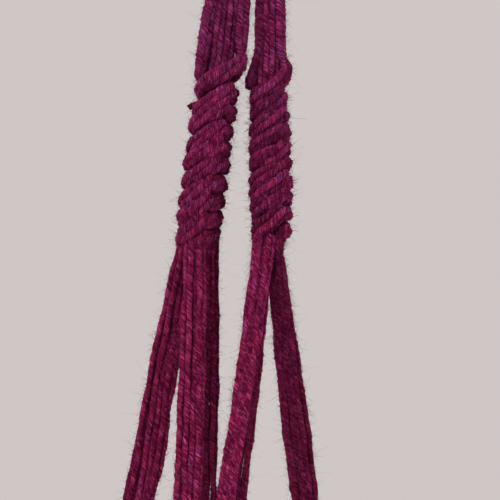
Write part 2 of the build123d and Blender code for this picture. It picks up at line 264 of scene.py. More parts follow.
# Joint knots: sideways places of fillers and knot cords, and drops of the knot yarns' ends below the knot
JOINT_SIDES = (1.85 * MM, 7.0 * MM)
JOINT_LEAVING = (0.5 * MM, 4.5 * MM)
# Room below the last pass, in knots, and how far the yarns reach past the knot
JOINT_ROOM = 0.9
JOINT_MARGIN = 2 * MM

# Cradle: steps between columns and layers, the corner round the pot's foot, and where the yarns turn in
CRADLE_PITCH = 2.9 * MM
CRADLE_MIDDLE = 3.5
CRADLE_LAYER = 1.15 * MM
CRADLE_LEAVING = (1.5 * MM, 4.5 * MM)
CRADLE_TURN = (9 * MM, 17 * MM)
CRADLE_CORNER = (34.8 * MM, -606 * MM)
COLLAR_INSET = 2.2 * MM
COLLAR_SQUEEZE = 0.75
NECK_RISE = 1 * MM
NECK_DROP = 8 * MM
OUTER_COLUMNS = (0, 1, 6, 7)

# Wraps round the gathered yarns
WRAP_RADIUS = 13.6 * MM
WRAP_PITCH = 4.7 * MM
WRAP_TURNS = 5
WRAP_STEPS = 12
WRAP_TUCK = -5 * MM

# Cords folded over the ring: radius of the fold and half the legs' distance, then places along the ring
BIGHTS = {"inner_bights": (9.6 * MM, 2.85 * MM), "outer_bights": (15.2 * MM, 8.55 * MM)}
BIGHT_PLACES = (-8.55 * MM, -2.85 * MM, 2.85 * MM, 8.55 * MM)
BIGHT_MIDDLE = 5 * MM
BIGHT_CORNERS = (135, 45)
BIGHT_GATHER = 7 * MM
BIGHT_END = 24 * MM
LEG_SPREAD = 2 * MM
LEG_RISE = 6 * MM
LEG_SHOULDER = 4 * MM

# Tassel: heights and drops, and its spread and sideways lean as shares of the neck's radius
TASSEL_BULGE = -678 * MM
TASSEL_RISE = 14 * MM
TASSEL_FLARE = (1.32, 0.05)
TASSEL_EASE = 1.3
TASSEL_HANG = (1.05, 1.3)
TASSEL_LEAN = 0.12
TASSEL_TRIM = 3 * MM
TASSEL_DROPS = (45 * MM, 95 * MM)
FOOT_HANG = 1.05
FOOT_LEAN = 1.5
# Middles of each quarter of the tassel, at the neck and as far out as it spreads at its foot
TASSEL_MIDDLE = 6.5 * MM
TASSEL_FOOT_MIDDLE = 7.8 * MM

# Stray fibres: lengths, thickness, steps, and lift, how far they stand up from lying along the yarn
FUZZ = {
    "nap": ((1.2 * MM, 3.6 * MM), 0.16 * MM, 2, 0.3),
    "halo": ((1.2 * MM, 6.5 * MM), 0.08 * MM, 4, 0.75),
}
HAIR_SIDES = 3
HAIR_SCATTER = 0.35
HAIR_CURL = 0.45
HAIR_SWIRL = 0.3
HAIR_TAPER = 0.6
CELL_SHARE = 0.9
CELL_MARGIN = 0.05
# Counts of nap and halo fibres
ARM_FUZZ = (14000, 2500)
SPLIT_FUZZ = (12000, 2300)
LOW_FUZZ = (12500, 3000)
TOP_FUZZ = (7000, 900)
TASSEL_FUZZ = (10000, 1500)

# Camera: level, close in front of the arms, a degree to the right of the middle and rolled a little
FRONT_PLANE = 16.5 * MM
CAMERA_DISTANCE = 330 * MM
VIEW_WIDTH = 225 * MM
VIEW_SHIFT = 7.4 * MM
VIEW_HEIGHT = -324 * MM
CAMERA_TURN = 1
CAMERA_ROLL = 3.4
SENSOR = 36.0
NEAREST = 0.01

# Floor, world and lamps: places in metres, sizes and powers
PALE = (0.62, 0.572, 0.566)
FLOOR = -0.95
FLOOR_RADIUS = 1.25
FLOOR_STEPS = 96
FLOOR_STOPS = ((0.3, 1.26), (0.7, 1.3))
WORLD_COLOUR = (1, 0.985, 0.97)
WORLD_STRENGTH = 0.62
LAMP_TARGET = (0, 0, -0.35)
LAMPS = {"key": ((-0.7, -1.3, 0.5), 0.8, 10.5), "fill": ((1.2, -0.9, -0.2), 1.0, 3)}

# Wool: colours along the fibre streaks from dark to light, the wool's own colour with painted highlights in
# the light streaks and painted shade in the dark ones, tones from crimson to violet, and factors of shade:
# painted shade in the grooves between plies, random flecks and patches, and each yarn's tone, painted light
# and shade on the front bundles
WOOL_AND_HIGHLIGHT_STOPS = [(0.31, (0.028, 0.0004, 0.006)), (0.5, (0.150, 0.0060, 0.046)), (0.70, (0.40, 0.062, 0.20))]
TONE_STOPS = [(0.32, (1.08, 0.80, 0.76)), (0.5, (1, 1, 1)), (0.68, (0.88, 1.42, 1.34))]
HAIR_STOPS = [(0, (0.06, 0.0015, 0.018)), (0.6, (0.20, 0.010, 0.065)), (1, (0.44, 0.06, 0.20))]
TONE_HEIGHTS = (-0.36, -0.22)
TONE_RANGE = (-0.10, 0.08)
# Painted shade in the grooves between plies: factors from groove to crown, and the crown height where the
# painted shade ends
GROOVE_SHADE_RANGE = (0.70, 1.06)
GROOVE_SHADE_TOP = 0.75
# Factors for each yarn's tone, reaching down far enough for the painted shadow on the outer right bundle
TINT_RANGE = (0.60, 1.32)
NOISE_RANGE = (0.35, 0.65)
FLECK_RANGE = (0.72, 1.28)
PATCH_RANGE = (0.70, 1.22)

# Wood and clay: three colours, stretch of the grain, its scale, roughness and depth
BEECH = ([(0.33, 0.18, 0.085), (0.45, 0.27, 0.14), (0.53, 0.34, 0.19)], (10, 60, 60), 3, 0.5, 0.12)
CLAY = ([(0.34, 0.10, 0.042), (0.43, 0.15, 0.07), (0.50, 0.25, 0.15)], (1, 1, 1), 22, 0.85, 0.25)
GRAIN_PLACES = (0.3, 0.52, 0.75)
GRIT_RATIO = 40
SPECK_RANGE = (0.85, 1.15)


def vector(x, y, z):
    """A point as an array."""
    return np.array([x, y, z], float)


def lengths_along(points):
    """The distance from a line's start to each of its points."""
    return np.concatenate([[0], np.cumsum(np.linalg.norm(np.diff(points, axis=0), axis=1))])


def route(control):
    """Points along the smooth line that a yarn's control points guide."""
    curve = bpy.data.curves.new("route", "CURVE")
    curve.dimensions = "3D"
    curve.resolution_u = ROUTE_STEPS
    spline = curve.splines.new("NURBS")
    spline.points.add(len(control) - 1)
    for spot, point in zip(spline.points, control):
        spot.co = (*point, 1)
    spline.order_u = 3
    spline.use_endpoint_u = True
    holder = bpy.data.objects.new("route", curve)
    bpy.context.collection.objects.link(holder)
    mesh = bpy.data.meshes.new_from_object(holder)
    points = np.array([vertex.co[:] for vertex in mesh.vertices])
    bpy.data.objects.remove(holder)
    bpy.data.curves.remove(curve)
    bpy.data.meshes.remove(mesh)
    return points


def even_steps(points):
    """The same line with its points an even step apart."""
    along = lengths_along(points)
    spots = np.linspace(0, along[-1], max(3, round(along[-1] / ALONG_STEP) + 1))
    return np.stack([np.interp(spots, along, points[:, axis]) for axis in range(3)], axis=1)


def drift(along, size, wave):
    """A smooth random wander along a strand."""
    total = np.zeros(len(along))
    for octave in DRIFT_OCTAVES:
        total += np.sin(2 * pi * along * octave / wave + chance.uniform(0, 2 * pi)) / octave
    return total * size / DRIFT_TOTAL


def frames_along(points):
    """Two sideways unit vectors along a line, turning as little as they can."""
    tangents = np.gradient(points, axis=0)
    tangents /= np.linalg.norm(tangents, axis=1)[:, None]
    any_way = (0.3, 0.9, 0.2)
    side = np.cross(tangents[0], any_way)
    sides = []
    for tangent in tangents:
        side = side - tangent * (side @ tangent)
        side = side / sqrt(side @ side)
        sides.append(side)
    sides = np.array(sides)
    return sides, np.cross(tangents, sides)


def yarn(control, diameter=YARN_DIAMETER, loose=EVEN_LOOSE, dye_and_light=EVEN_DYE):
    """One plied yarn along control points: its surface, streak coordinates, crowns of the plies and shade, a
    random tone that on the front arms and bundles also carries painted light and shade.
    """
    points = even_steps(route(control))
    along = np.arange(len(points)) * ALONG_STEP
    held = np.minimum(1, np.minimum(along, along[::-1]) / HELD_END)
    points = points + np.stack([drift(along, loose, WANDER_WAVE) * held for _ in range(3)], axis=1)
    side, up = frames_along(points)
    around = np.linspace(0, 2 * pi, ROUND_STEPS, endpoint=False)
    lay = -2 * pi * along / PLY_LEAD + chance.uniform(0, 2 * pi) + drift(along, *LAY_DRIFT)
    phase = around[None] - lay[:, None]
    crown = np.abs(np.cos(PLIES * phase / 2))
    thickness = diameter / 2 * (1 + drift(along, *THICKNESS_DRIFT))
    woolly = chance.normal(0, WOOLLINESS, phase.shape)
    radius = thickness[:, None] * (1 + PLY_DEPTH * (crown - MEAN_CROWN) + woolly)
    normals = np.cos(around)[None, :, None] * side[:, None] + np.sin(around)[None, :, None] * up[:, None]
    vertices = points[:, None] + radius[..., None] * normals
    reach = np.broadcast_to((along + chance.uniform(0, STREAK_ROOM))[:, None], phase.shape)
    streak = np.stack([diameter / 2 * np.cos(phase), diameter / 2 * np.sin(phase), reach], axis=2)
    tangents = np.broadcast_to(np.gradient(points, axis=0)[:, None], vertices.shape) / ALONG_STEP
    return {
        "vertices": vertices,
        "normals": normals,
        "tangents": tangents,
        "streak": streak,
        "crown": crown,
        "shade": np.full(phase.shape, chance.uniform(*dye_and_light)),
    }


def above(one, height):
    """The part of a yarn that is higher than a height."""
    kept = one["vertices"][:, 0, 2] > height
    return {label: values[kept] for label, values in one.items()}


def tube_faces(rings, corners):
    """Faces of a closed tube with two end caps, and their corners' places on a map from 0 to 1."""
    ring = np.arange(rings - 1)[:, None] * corners
    here = np.arange(corners)[None]
    there = (here + 1) % corners
    quads = np.stack([ring + here, ring + there, ring + corners + there, ring + corners + here], axis=2)
    step = np.broadcast_to(np.arange(rings - 1)[:, None], quads.shape[:2])
    column = np.broadcast_to(here, quads.shape[:2])
    u = np.stack([step, step, step + 1, step + 1], axis=2) / (rings - 1) * MAP_SIDE
    v = np.stack([column, column + 1, column + 1, column], axis=2) / corners
    places = np.stack([u, v], axis=3).reshape(-1, 2)
    turn = np.linspace(0, 2 * pi, corners, endpoint=False)
    cap = CAP_CENTRE + np.stack([np.cos(turn), np.sin(turn)], axis=1) * CAP_RADII
    places = np.concatenate([places, cap[::-1], cap + CAP_STEP])
    last = (rings - 1) * corners
    faces = quads.reshape(-1, 4).tolist()
    faces += [list(range(corners))[::-1], list(range(last, last + corners))]
    return faces, places


def add_mesh(name, vertices, faces, material):
    """A new object with one material."""
    mesh = bpy.data.meshes.new(name)
    mesh.from_pydata(vertices, [], faces)
    mesh.shade_smooth()
    mesh.materials.append(material)
    thing = bpy.data.objects.new(name, mesh)
    bpy.context.collection.objects.link(thing)
    return thing


def add_layer(piece, label, values):
    """A number or a vector for each point of a piece."""
    kind, field = ("FLOAT_VECTOR", "vector") if values.shape[-1] == 3 else ("FLOAT", "value")
    piece.data.attributes.new(label, kind, "POINT").data.foreach_set(field, values.ravel())


def add_map(piece, places):
    """Gives a piece its colour map."""
    piece.data.uv_layers.new(name=BAKE_MAP).data.foreach_set("uv", places.ravel())


def piece_of(name, yarns, *nodes):
    """One shown piece made of several yarns, each a strip of its map, which stands for the named solids."""
    faces, places = [], []
    start = 0
    for order, one in enumerate(yarns):
        rings, corners, _ = one["vertices"].shape
        tube, spots = tube_faces(rings, corners)
        faces += [[corner + start for corner in face] for face in tube]
        places.append((spots * (1, STRIP_SHARE) + (0, STRIP_MARGIN + order)) / (1, len(yarns)))
        start += rings * corners
    piece = add_mesh(name, np.concatenate([one["vertices"].reshape(-1, 3) for one in yarns]), faces, wool)
    for label, width in (("streak", 3), ("crown", 1), ("shade", 1)):
        add_layer(piece, label, np.concatenate([one[label].reshape(-1, width) for one in yarns]))
    add_map(piece, np.concatenate(places))
    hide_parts(*nodes)
    return piece


def node_maker(material):
    """Clears a material's or the world's nodes and gives short ways to add and join them."""
    material.use_nodes = True
    tree = material.node_tree
    tree.nodes.clear()

    def add(kind, **inputs):
        node = tree.nodes.new(kind)
        for key, value in inputs.items():
            node.inputs[key.replace("_", " ")].default_value = value
        return node

    return add, tree.links.new


def ramp_of(add, stops):
    """A colour ramp with the given places and colours."""
    ramp = add("ShaderNodeValToRGB")
    elements = ramp.color_ramp.elements
    while len(elements) < len(stops):
        elements.new(0.5)
    for element, (place, colour) in zip(elements, stops):
        element.position = place
        element.color = (*colour, 1)
    return ramp


def multiply(add, link, first, second):
    """The product of two colours."""
    mix = add("ShaderNodeMix")
    mix.data_type = "RGBA"
    mix.blend_type = "MULTIPLY"
    mix.inputs["Factor"].default_value = 1
    link(first, mix.inputs["A"])
    link(second, mix.inputs["B"])
    return mix.outputs["Result"]


def attribute(add, label):
    """A mesh attribute's node."""
    node = add("ShaderNodeAttribute")
    node.attribute_name = label
    return node


def span(add, link, value, goal, source=(0, 1)):
    """Maps a value from the source range onto the goal range."""
    (low, high), (bottom, top) = goal, source
    node = add("ShaderNodeMapRange", From_Min=bottom, From_Max=top, To_Min=low, To_Max=high)
    link(value, node.inputs["Value"])
    return node.outputs["Result"]


def noise(add, link, place, **inputs):
    """A noise over places."""
    node = add("ShaderNodeTexNoise", **inputs)
    link(place, node.inputs["Vector"])
    return node.outputs["Fac"]


def finish_material(add, link, shader, colour):
    """Joins a colour and the output to a shader."""
    link(colour, shader.inputs["Base Color"])
    link(shader.outputs["BSDF"], add("ShaderNodeOutputMaterial").inputs["Surface"])


def yarn_material():
    """Fuzzy wine-red wool: painted shade in the grooves between plies, streaks along them with painted
    highlights, violet above, crimson below, and painted light and shade on the front bundles.
    """
    material = bpy.data.materials.new("wine_wool")
    add, link = node_maker(material)
    streak = attribute(add, "streak").outputs["Vector"]
    stretch = add("ShaderNodeMapping", Scale=(1, 1, 0.22))
    link(streak, stretch.inputs["Vector"])
    # Streaks along the fibres: the wool's own colour, with painted highlights in the light streaks and
    # painted shade in the dark ones; the same streaks also drive the bump
    fibres = noise(add, link, stretch.outputs["Vector"], Scale=1500, Detail=3, Roughness=0.6)
    colour = ramp_of(add, WOOL_AND_HIGHLIGHT_STOPS)
    link(fibres, colour.inputs["Fac"])
    place = add("ShaderNodeSeparateXYZ")
    link(add("ShaderNodeTexCoord").outputs["Object"], place.inputs["Vector"])
    mixed = add("ShaderNodeMath")
    mixed.operation = "ADD"
    link(noise(add, link, streak, Scale=75, Detail=2), mixed.inputs[0])
    link(span(add, link, place.outputs["Z"], TONE_RANGE, TONE_HEIGHTS), mixed.inputs[1])
    tone = ramp_of(add, TONE_STOPS)
    link(mixed.outputs["Value"], tone.inputs["Fac"])
    flecks = noise(add, link, streak, Scale=620, Detail=2)
    patches = noise(add, link, streak, Scale=95, Detail=1)
    shaded = multiply(add, link, colour.outputs["Color"], tone.outputs["Color"])
    # Factors: painted shade in the grooves between plies, random flecks and patches, and each yarn's tone,
    # which on the front bundles is painted light and shade
    for factor in (
        span(add, link, attribute(add, "crown").outputs["Fac"], GROOVE_SHADE_RANGE, (0, GROOVE_SHADE_TOP)),
        span(add, link, flecks, FLECK_RANGE, NOISE_RANGE),
        span(add, link, patches, PATCH_RANGE, NOISE_RANGE),
        span(add, link, attribute(add, "shade").outputs["Fac"], TINT_RANGE),
    ):
        shaded = multiply(add, link, shaded, factor)
    bump = add("ShaderNodeBump", Strength=0.6, Distance=0.35 * MM)
    link(fibres, bump.inputs["Height"])
    shader = add(
        "ShaderNodeBsdfPrincipled",
        Roughness=0.95,
        Specular_IOR_Level=0.03,
        Sheen_Weight=0.2,
        Sheen_Roughness=0.5,
        Sheen_Tint=(0.7, 0.07, 0.27, 1),
        Subsurface_Weight=0.35,
        Subsurface_Radius=(1, 0.15, 0.4),
        Subsurface_Scale=1.2 * MM,
    )
    link(bump.outputs["Normal"], shader.inputs["Normal"])
    finish_material(add, link, shader, shaded)
    return material


def hair_material():
    """Stray wool fibres, a little lighter than the yarn and each its own shade."""
    material = bpy.data.materials.new("stray_fibre")
    add, link = node_maker(material)
    colour = ramp_of(add, HAIR_STOPS)
    link(attribute(add, "shade").outputs["Fac"], colour.inputs["Fac"])
    shader = add("ShaderNodeBsdfPrincipled", Roughness=0.9, Specular_IOR_Level=0.05)
    finish_material(add, link, shader, colour.outputs["Color"])
    return material


def grained_material(name, colours, stretch, scale, roughness, depth):
    """A matt solid with grain: wood where the grain is stretched, clay where it is not."""
    material = bpy.data.materials.new(name)
    add, link = node_maker(material)
    mapping = add("ShaderNodeMapping", Scale=stretch)
    link(add("ShaderNodeTexCoord").outputs["Object"], mapping.inputs["Vector"])
    place = mapping.outputs["Vector"]
    grit = noise(add, link, place, Scale=GRIT_RATIO * scale, Detail=3)
    colour = ramp_of(add, list(zip(GRAIN_PLACES, colours)))
    link(noise(add, link, place, Scale=scale, Detail=6, Roughness=0.6), colour.inputs["Fac"])
    speck = span(add, link, grit, SPECK_RANGE)
    bump = add("ShaderNodeBump", Strength=depth, Distance=0.2 * MM)
    link(grit, bump.inputs["Height"])
    shader = add("ShaderNodeBsdfPrincipled", Roughness=roughness)
    link(bump.outputs["Normal"], shader.inputs["Normal"])
    finish_material(add, link, shader, multiply(add, link, colour.outputs["Color"], speck))
    return material


wool = yarn_material()
fibre = hair_material()


def compass(azimuth):
    """The outward and the sideways unit vectors at an azimuth in degrees."""
    turn = radians(azimuth)
    return vector(cos(turn), sin(turn), 0), vector(-sin(turn), cos(turn), 0)


def round_axis(azimuth, radius, height):
    """A point at an azimuth, a distance from the axis and a height."""
    return compass(azimuth)[0] * radius + vector(0, 0, height)


def arm_axis(azimuth, height):
    """The middle of an arm at a height."""
    outward, _ = compass(azimuth)
    return outward * (ARM_TOP_RADIUS + ARM_SLOPE * (ARM_TOP - height)) + vector(0, 0, height)


def knot_cord(axis, top, knots, knot_height, start, entry=0, rise=0, fullness=EVEN_FULLNESS):
    """Control points of one knot cord's four yarns, which twist together as they wind from side to side.

    The cord comes in at the side, an entry angle before the start of its first pass and a rise above it.
    """
    path = []
    if entry:
        reach = ENTRY_RADIUS * fullness[0]
        path = [(start + entry * rest, reach, top + rise * rest) for rest in ENTRY_SHARES]
    angle = start
    for knot in range(knots):
        height = top - knot * knot_height + chance.normal(0, HEIGHT_JITTER)
        turned = angle + chance.normal(0, TURN_JITTER)
        full = np.interp(knot / (knots - 1), FULLNESS_PLACES, fullness) + chance.normal(0, FULLNESS_JITTER)
        for share, reach, fall in PASS_SHAPE:
            path.append((turned - share * pi, reach * full, height - fall * PASS_DROP * knot_height))
        angle -= pi + radians(SPIRAL_TWIST)
    outward = np.array([vector(cos(turn), sin(turn), 0) for turn, _, _ in path])
    travel = np.array([vector(sin(turn), -cos(turn), 0) for turn, _, _ in path])
    points = np.array([axis(level) + out * reach for out, (_, reach, level) in zip(outward, path)])
    across = vector(0, 0, cos(PASS_LEAN)) + travel * sin(PASS_LEAN)
    along = lengths_along(points)
    yarns = []
    for index in range(CORD_YARNS):
        roll = (2 * pi * (along / ROLL_LEAD + (index + 0.5) / CORD_YARNS))[:, None]
        yarns.append(points + across * np.cos(roll) * ROLL_ACROSS + outward * np.sin(roll) * ROLL_OUT)
    return yarns


def side_of(points, axis, sideways):
    """The side of its axis, 1 or -1, on which a line of points ends."""
    return 1 if (points[-1] - axis(points[-1][2])) @ sideways > 0 else -1


def quarter_places(azimuth, height):
    """Places of sixteen gathered yarns in the quarter round an azimuth, inside a wrap."""
    places = []
    for radius, count in QUARTER_RINGS:
        for index in range(count):
            turn = azimuth + ((index + 0.5) / count - 0.5) * QUARTER
            places.append(round_axis(turn, radius, height))
    return places


def ribbon_places(arm, azimuth):
    """Each column's back and front yarn, from left to right: place at the wrap, and shift at the sinnet."""
    gathered = sorted(quarter_places(azimuth, ARM_TOP), key=lambda place: place[0])
    columns = []
    for column in range(RIBBON_COLUMNS):
        pair = sorted(gathered[2 * column : 2 * column + 2], key=lambda place: -place[1])
        middle = RIBBON_SHIFT.get(arm, 0) + (column - RIBBON_MIDDLE) * RIBBON_PITCH[arm]
        strands = []
        for row, place in zip(ROWS, pair):
            depth = row * ROW_OFFSET + (column % 2 - 0.5) * COLUMN_DEPTH
            strands.append((place, vector(middle - row * RIBBON_STAGGER, depth, 0)))
        columns.append(strands)
    return columns


def foot_middle(azimuth):
    """The middle of the yarns that leave the foot of a sinnet."""
    return arm_axis(azimuth, SINNET_FOOT) + vector(FOOT_SHIFT.get(azimuth, 0), 0, 0)


def foot_place(azimuth, side, index):
    """Where a yarn leaves the foot of a sinnet: side is -1 or 1, and index counts away from the middle."""
    outward, sideways = compass(azimuth)
    rank, row = FOOT_GRID[index]
    return foot_middle(azimuth) + (sideways * side * rank + outward * row) * FOOT_PITCH


def filler_yarns(azimuth, axis, columns, dye_and_light):
    """The yarns that run down from the ribbon's middle through the core of a sinnet."""
    _, sideways = compass(azimuth)
    yarns = []
    for column, (x, y) in CORE_PLACES.items():
        for row, (wrap_place, shift) in zip(ROWS, columns[column]):
            side = 1 if sideways[0] * (column - RIBBON_MIDDLE) > 0 else -1
            core = vector(x, row * y, 0)
            index = 2 * (column in OUTER_FILLERS) + (row > 0)
            control = [
                wrap_place + vector(0, 0, INTO_WRAP),
                wrap_place,
                axis(SINNET_TOP + FILLER_RISE) + shift,
                axis(SINNET_TOP) + core,
                axis(SINNET_FOOT + CORE_END) + core,
                foot_place(azimuth, side, index),
            ]
            yarns.append(yarn(control, dye_and_light=dye_and_light))
    return yarns


def sinnet_yarns(arm, azimuth, axis, columns, dye_and_light):
    """The yarns that run down the ribbon's sides and wind round the core in spiral half-knots."""
    _, sideways = compass(azimuth)
    first = SINNET_START[arm]
    knot_height = (first - SINNET_FOOT) / (SINNET_KNOTS + FOOT_ROOM[arm])
    entry = -radians(SPIRAL_START[arm])
    yarns = []
    for pair, turn, rise, bulge in zip(LEAD_COLUMNS, (0, pi), ENTRY_RISES, LEAD_BULGE[arm]):
        band = knot_cord(axis, first, SINNET_KNOTS, knot_height, turn - entry, entry, rise, FULLNESS[arm])
        side = side_of(band[0], axis, sideways)
        upper = columns[pair[0]] + columns[pair[1]]
        for index, ((wrap_place, shift), points) in enumerate(zip(upper, band)):
            control = [
                wrap_place + vector(0, 0, INTO_WRAP),
                wrap_place,
                axis(first + LEAD_RISE) + shift,
                axis(first + BULGE_RISE) + shift + vector(cos(turn) * bulge, 0, 0),
                *points,
                foot_place(azimuth, side, CORD_YARNS + index),
            ]
            yarns.append(yarn(control, KNOT_YARN_DIAMETER, KNOT_LOOSE, dye_and_light))
    return yarns


def make_arm(arm, azimuth):
    """The ribbon, fillers and spiral sinnet of one arm."""

    def axis(height):
        lean = np.interp(height, (SINNET_FOOT, SINNET_TOP), (-1, 1)) * SINNET_LEAN.get(arm, 0)
        return arm_axis(azimuth, height) + vector(lean, 0, 0)

    columns = ribbon_places(arm, azimuth)
    # The arm's tone range: random tone, with painted light and shade on the front arms
    dye_and_light = DYE_AND_PAINTED_LIGHT.get(arm, EVEN_DYE)
    fillers = filler_yarns(azimuth, axis, columns, dye_and_light)
    sinnet = sinnet_yarns(arm, azimuth, axis, columns, dye_and_light)
    if arm == "front_left":
        stub = [axis(STUB_HEIGHT + rise) + vector(x, STUB_DEPTH, 0) for x, rise in STUB]
        sinnet.append(yarn(stub, dye_and_light=dye_and_light))
    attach(piece_of(f"{arm}_fillers", fillers, f"{arm}_filler_cords"), "hanger")
    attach(piece_of(f"{arm}_sinnet", sinnet, f"{arm}_knot_cord_a", f"{arm}_knot_cord_b"), "hanger")
    return [above(one, SINNET_TOP) for one in fillers] + sinnet


def split_ends(azimuth, side, joint_azimuth):
    """Where a bundle's yarns leave the sinnet and reach the joint knot, from left to right."""
    outward, sideways = compass(joint_azimuth)
    joint_middle = outward * JOINT_RADIUS + vector(0, 0, JOINT_TOP)
    ends = []
    for index in range(SPLIT_YARNS):
        rank = 0 if index >= CORD_YARNS else 1
        across, out = CORD_GRID[index % CORD_YARNS]
        goal = joint_middle - sideways * (side * JOINT_SIDES[rank] + across) + outward * out
        ends.append((foot_place(azimuth, side, index), goal))
    return sorted(ends, key=lambda pair: pair[0][0] + GOAL_WEIGHT * pair[1][0])


def make_split(arm, azimuth, side):
    """The eight yarns from a sinnet's foot to the joint knot on one side."""
    joint_azimuth = (azimuth + side * ARM_TO_JOINT) % 360
    joint = next(name for name, angle in JOINTS.items() if angle == joint_azimuth)
    name = f"{arm}_to_{joint}"
    outward, sideways = compass(joint_azimuth)
    start = foot_middle(azimuth) + compass(azimuth)[1] * side * FOOT_RANKS[1] * FOOT_PITCH
    end = outward * JOINT_RADIUS + vector(0, 0, JOINT_TOP) - sideways * side * sum(JOINT_SIDES) / 2
    way = end - start
    lean = vector(FAN_SHIFT.get(name, 0), 0, 0)
    upper = start + way * FAN_HIGH + lean * SHIFT_ABOVE
    lower = start + way * FAN_LOW + lean
    yarns = []
    for order, (foot, goal) in enumerate(split_ends(azimuth, side, joint_azimuth)):
        column, row = divmod(order, 2)
        spread = (column - FAN_MIDDLE + FAN_STAGGER * (row - 0.5)) * FAN_PITCH.get(name, WIDE_FAN_PITCH)
        if name in LOOSE_FAN:
            spread = LOOSE_FAN[name][order]
        fan = vector(spread + chance.normal(0, FAN_JITTER), (row - 0.5) * FAN_DEPTH, 0)
        control = [
            foot - way * SPLIT_TUCK,
            foot + way * SPLIT_LEAVING,
            upper + fan * FAN_SHARE,
            lower + fan * FAN_SHARE,
            goal - way * FAN_CLOSED,
            goal - way * SPLIT_TUCK,
            goal + vector(0, 0, SPLIT_END),
        ]
        yarns.append(yarn(control, loose=SPLIT_LOOSE, dye_and_light=DYE_AND_PAINTED_LIGHT.get(name, EVEN_DYE)))
    piece = piece_of(name, yarns, f"{name}_cords")
    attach(piece, "hanger")
    line = route([start, upper, lower, end - way * FAN_CLOSED, end])
    return yarns


def make_joint(joint, azimuth):
    """One joint knot: eight fillers straight through and eight yarns wound round them."""
    outward, sideways = compass(azimuth)

    def axis(height):
        return outward * JOINT_RADIUS + vector(0, 0, height)

    def spot(height, side, rank, place):
        across, out = CORD_GRID[place]
        return axis(height) + sideways * (side * JOINT_SIDES[rank] + across) + outward * out

    knot_height = (JOINT_TOP - JOINT_FOOT) / (JOINT_KNOTS + JOINT_ROOM)
    head, foot = JOINT_TOP + JOINT_MARGIN, JOINT_FOOT - JOINT_MARGIN
    yarns = []
    for side in (-1, 1):
        for place in range(CORD_YARNS):
            heights = (head, (head + foot) / 2, foot)
            yarns.append(yarn([spot(height, side, 0, place) for height in heights]))
    for side in (1, -1):
        start = radians(azimuth) + side * pi / 2
        band = knot_cord(axis, JOINT_TOP - JOINT_MARGIN, JOINT_KNOTS, knot_height, start)
        end_side = side_of(band[0], axis, sideways)
        for place, points in enumerate(band):
            leaving = [spot(JOINT_FOOT - drop, end_side, 1, place) for drop in JOINT_LEAVING]
            control = [spot(head, side, 1, place), *points, *leaving]
            yarns.append(yarn(control, KNOT_YARN_DIAMETER, KNOT_LOOSE))
    nodes = [f"{joint}_joint_filler_cords", f"{joint}_joint_knot_cord_a", f"{joint}_joint_knot_cord_b"]
    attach(piece_of(f"{joint}_joint", yarns, *nodes), "hanger")
    return yarns


def make_cradle(joint, azimuth):
    """Sixteen yarns from a joint knot round the pot's foot into the base wrap, in two layers of eight."""
    outward, sideways = compass(azimuth)
    corner_radius, corner_height = CRADLE_CORNER
    turn_in, turn_drop = CRADLE_TURN
    gathered = sorted(quarter_places(azimuth, BASE_NECK_TOP), key=lambda place: place @ sideways)
    yarns = []
    for index, neck in enumerate(gathered):
        column, row = divmod(index, 2)
        side = sideways * (column - CRADLE_MIDDLE) * CRADLE_PITCH
        layer = CRADLE_LAYER * (row * 2 - 1)
        across, out = CORD_GRID[2 * (column % 2) + row]
        leaving = 1 if column > CRADLE_MIDDLE else -1
        rank = 1 if column in OUTER_COLUMNS else 0
        top = outward * (JOINT_RADIUS + out) + sideways * (leaving * JOINT_SIDES[rank] + across)
        control = [
            *(top + vector(0, 0, JOINT_FOOT - drop) for drop in CRADLE_LEAVING),
            outward * (JOINT_RADIUS - turn_in + layer) + side + vector(0, 0, JOINT_FOOT - turn_drop),
            outward * (corner_radius + layer) + side + vector(0, 0, corner_height - layer),
            outward * (COLLAR_RADIUS - COLLAR_INSET + layer) + side * COLLAR_SQUEEZE + vector(0, 0, COLLAR),
            neck + vector(0, 0, NECK_RISE),
            neck - vector(0, 0, NECK_DROP),
        ]
        yarns.append(yarn(control))
    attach(piece_of(f"{joint}_cradle", yarns, f"{joint}_cradle_cords"), "hanger")
    return yarns


def make_wrap(name, top, *nodes):
    """Two yarns wound side by side round the gathered yarns, with their ends tucked in."""
    yarns = []
    tuck = vector(WRAP_TUCK, 0, 0)
    for half in (0, 0.5):
        control = []
        for step in range(WRAP_TURNS * WRAP_STEPS + 1):
            height = top - WRAP_PITCH * (step / WRAP_STEPS + half)
            control.append(round_axis(360 * step / WRAP_STEPS, WRAP_RADIUS, height))
        control = [control[0] + tuck, *control, control[-1] + tuck]
        yarns.append(yarn(control, KNOT_YARN_DIAMETER, WRAP_LOOSE))
    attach(piece_of(name, yarns, *nodes), "hanger")
    return yarns


def make_bights(name, radius, foot, outer):
    """The folded middles of the cords, in an upside-down U through the ring, four yarns each."""
    yarns = []
    for place in BIGHT_PLACES:
        column = int(abs(place) > BIGHT_MIDDLE)
        corner = BIGHT_CORNERS[place > 0]
        for spot, (across, out) in enumerate(CORD_GRID):
            x = place + across
            reach = radius + out
            control = []
            for way in (-1, 1):
                gathered = quarter_places(way * corner, LEG_FOOT - BIGHT_GATHER)
                end = gathered[CORD_YARNS * (2 * outer + column) + spot]
                leg = [
                    end - vector(0, 0, BIGHT_END),
                    end,
                    vector(x, way * (foot + out + LEG_SPREAD), LEG_FOOT + LEG_RISE),
                    vector(x, way * reach, SWING_AXIS - LEG_SHOULDER),
                    vector(x, way * reach, SWING_AXIS + reach),
                ]
                control += leg if way < 0 else leg[::-1]
            yarns.append(yarn(control, loose=WRAP_LOOSE))
    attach(piece_of(name, yarns, name), "hanger")
    return yarns


def hang_loose(piece):
    """Bakes a tassel piece's placement into its mesh."""
    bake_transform(piece)


